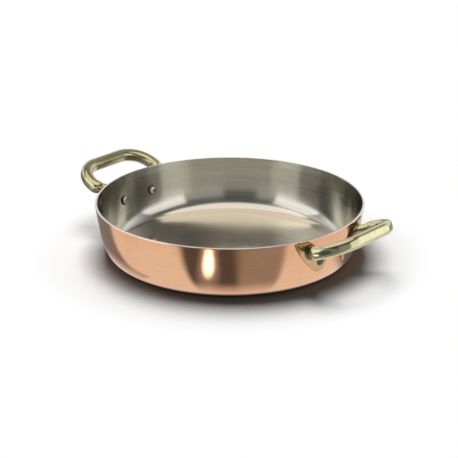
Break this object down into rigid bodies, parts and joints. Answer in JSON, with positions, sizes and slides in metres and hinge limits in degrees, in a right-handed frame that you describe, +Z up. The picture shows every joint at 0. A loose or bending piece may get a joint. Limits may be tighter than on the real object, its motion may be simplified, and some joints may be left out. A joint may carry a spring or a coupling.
{
  "type": "braising pan",
  "caption": "Shallow round copper braising pan with a flared wall, a steel lining and riveted cast brass loop handles on opposite sides, open at the top.",
  "frame": {"origin": "middle of the flat base, on the surface that the pan stands on", "axes": "+Z up out of the pan, +X through the middle of the right handle, +Y across"},
  "size_m": [0.3696, 0.28, 0.069],
  "materials": {
    "copper": "polished",
    "lining": "brushed",
    "handle_brass": "polished",
    "rivet_steel": "satin"
  },
  "bodies": {
    "root": {"copper_body": "copper", "steel_lining": "lining", "handle_right": "handle_brass", "handle_left": "handle_brass", "rivet_right_front": "rivet_steel", "rivet_right_rear": "rivet_steel", "rivet_left_front": "rivet_steel", "rivet_left_rear": "rivet_steel"}
  },
  "joints": []
}
